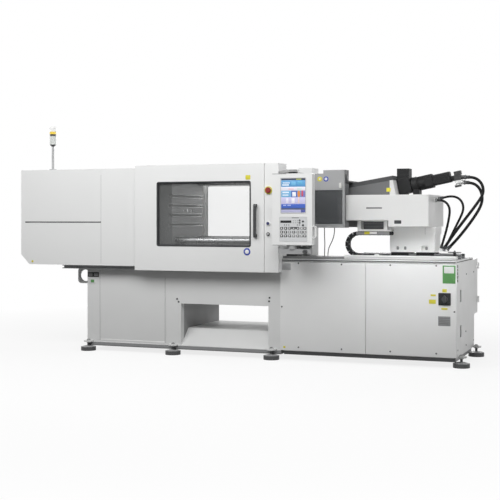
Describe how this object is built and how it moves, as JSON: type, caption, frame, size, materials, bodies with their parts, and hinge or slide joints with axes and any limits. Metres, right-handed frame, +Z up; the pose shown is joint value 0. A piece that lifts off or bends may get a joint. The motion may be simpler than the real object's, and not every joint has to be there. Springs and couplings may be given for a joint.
{
  "type": "injection moulding machine",
  "caption": "Horizontal injection moulding machine with a hydraulic clamp under sliding doors, an operator panel on swing arms and a two-stage injection unit on a sliding carriage.",
  "frame": {"origin": "centre of the machine's outline on the floor, measured without its hoses and cables", "axes": "+X from the clamp end towards the injection end, +Y from the operator's side to the rear, +Z up"},
  "size_m": [4.6271, 1.6096, 2.279],
  "materials": {
    "light_paint": "satin light grey enamel",
    "base_paint": "satin light grey enamel",
    "guard_paint": "satin mid grey enamel",
    "platen_paint": "painted casting with machined faces",
    "dark_paint": "satin dark grey enamel",
    "steel": "ground",
    "chromed_steel": "polished",
    "zinc": "zinc plated",
    "window": "clear sheet",
    "black_plastic": "moulded",
    "red_plastic": "moulded",
    "screen": "glossy display",
    "keypad": "membrane",
    "lamp": "moulded lens on a metal pole",
    "hose_rubber": "smooth hose",
    "cable": "sheathed cable"
  },
  "bodies": {
    "machine_base": {"clamp_base": "base_paint", "levelling_feet": "zinc", "clamp_cover": "light_paint", "door_guides": "dark_paint", "operator_column": "light_paint", "rear_post": "light_paint", "fixed_platen": "platen_paint", "rear_platen": "platen_paint", "clamp_cylinder": "platen_paint", "tie_bars": "chromed_steel", "tie_bar_nuts": "steel", "injection_base": "base_paint", "service_panels": "light_paint", "deck_plate": "light_paint", "deck_cap": "black_plastic", "rear_cabinet": "light_paint", "guard_hood": "guard_paint", "panel_arms": "guard_paint", "signal_tower": "lamp", "carriage_rails": "steel", "energy_chain": "black_plastic", "guard_cable_a": "cable", "guard_cable_b": "cable"},
    "front_door": {"front_door": "light_paint", "front_window": "window", "front_handle": "black_plastic"},
    "rear_door": {"rear_door": "light_paint", "rear_window": "window"},
    "platen": {"moving_platen": "platen_paint", "clamp_ram": "chromed_steel"},
    "ejector": {"ejector": "steel"},
    "estop": {"estop_head": "red_plastic"},
    "button": {"push_button": "black_plastic"},
    "key": {"key": "steel"},
    "main_switch": {"main_switch": "black_plastic"},
    "cabinet_door": {"rear_cabinet_door": "light_paint"},
    "guard_door": {"guard_door": "guard_paint", "guard_window": "window"},
    "guard_latch": {"guard_latch": "black_plastic"},
    "panel": {"panel_housing": "light_paint", "panel_screen": "screen", "panel_keypad": "keypad"},
    "panel_knob": {"panel_knob": "black_plastic"},
    "carriage": {"guide_blocks": "dark_paint", "pedestal": "light_paint", "injection_housing": "light_paint", "barrel_cover": "light_paint", "injection_barrel": "steel", "screw_barrel": "steel", "slant_cover": "guard_paint", "feed_block": "dark_paint", "gearbox": "dark_paint", "drive_motor": "dark_paint", "manifold": "dark_paint", "hose_a": "hose_rubber", "hose_b": "hose_rubber", "hose_c": "hose_rubber", "hose_d": "hose_rubber"},
    "plunger": {"plunger": "chromed_steel"},
    "screw": {"screw": "steel"}
  },
  "joints": [
    {"name": "front_door_slide", "type": "slide", "parent": "machine_base", "child": "front_door", "axis": [-1, 0, 0], "range_m": [0, 0.8]},
    {"name": "rear_door_slide", "type": "slide", "parent": "machine_base", "child": "rear_door", "axis": [-1, 0, 0], "range_m": [0, 0.8]},
    {"name": "platen_slide", "type": "slide", "parent": "machine_base", "child": "platen", "axis": [1, 0, 0], "range_m": [0, 0.4]},
    {"name": "ejector_slide", "type": "slide", "parent": "platen", "child": "ejector", "axis": [1, 0, 0], "range_m": [0, 0.08]},
    {"name": "estop_press", "type": "slide", "parent": "machine_base", "child": "estop", "axis": [0, 1, 0], "range_m": [0, 0.004], "stiffness_N_per_m": 1500},
    {"name": "button_press", "type": "slide", "parent": "machine_base", "child": "button", "axis": [0, 1, 0], "range_m": [0, 0.003], "stiffness_N_per_m": 900},
    {"name": "key_turn", "type": "hinge", "parent": "machine_base", "child": "key", "pos_m": [0.44625, -0.5605, 1.183], "axis": [0, 1, 0], "range_deg": [0, 90]},
    {"name": "main_switch_turn", "type": "hinge", "parent": "machine_base", "child": "main_switch", "pos_m": [2.07325, -0.4605, 0.613], "axis": [0, 1, 0], "range_deg": [0, 90]},
    {"name": "cabinet_door_swing", "type": "hinge", "parent": "machine_base", "child": "cabinet_door", "pos_m": [2.17725, 0.7968, 0.66], "axis": [0, 0, 1], "range_deg": [-110, 0]},
    {"name": "guard_door_swing", "type": "hinge", "parent": "machine_base", "child": "guard_door", "pos_m": [0.80325, -0.3448, 1.51], "axis": [0, 0, 1], "range_deg": [-95, 0]},
    {"name": "guard_latch_turn", "type": "hinge", "parent": "guard_door", "child": "guard_latch", "pos_m": [1.09125, -0.3505, 1.635], "axis": [0, 1, 0], "range_deg": [0, 90]},
    {"name": "panel_swing", "type": "hinge", "parent": "machine_base", "child": "panel", "pos_m": [0.76125, -0.7555, 1.41], "axis": [0, 0, 1], "range_deg": [-45, 45]},
    {"name": "panel_knob_turn", "type": "hinge", "parent": "machine_base", "child": "panel_knob", "pos_m": [0.88625, -0.7905, 1.0292], "axis": [0, 1, 0], "range_deg": [-180, 180]},
    {"name": "carriage_slide", "type": "slide", "parent": "machine_base", "child": "carriage", "axis": [1, 0, 0], "range_m": [0, 0.2], "deforming": ["energy_chain"]},
    {"name": "plunger_slide", "type": "slide", "parent": "carriage", "child": "plunger", "axis": [-1, 0, 0], "range_m": [0, 0.16]},
    {"name": "screw_turn", "type": "hinge", "parent": "carriage", "child": "screw", "pos_m": [1.58975, 0.0795, 1.627], "axis": [0.9796, 0, 0.2011], "continuous": true}
  ]
}
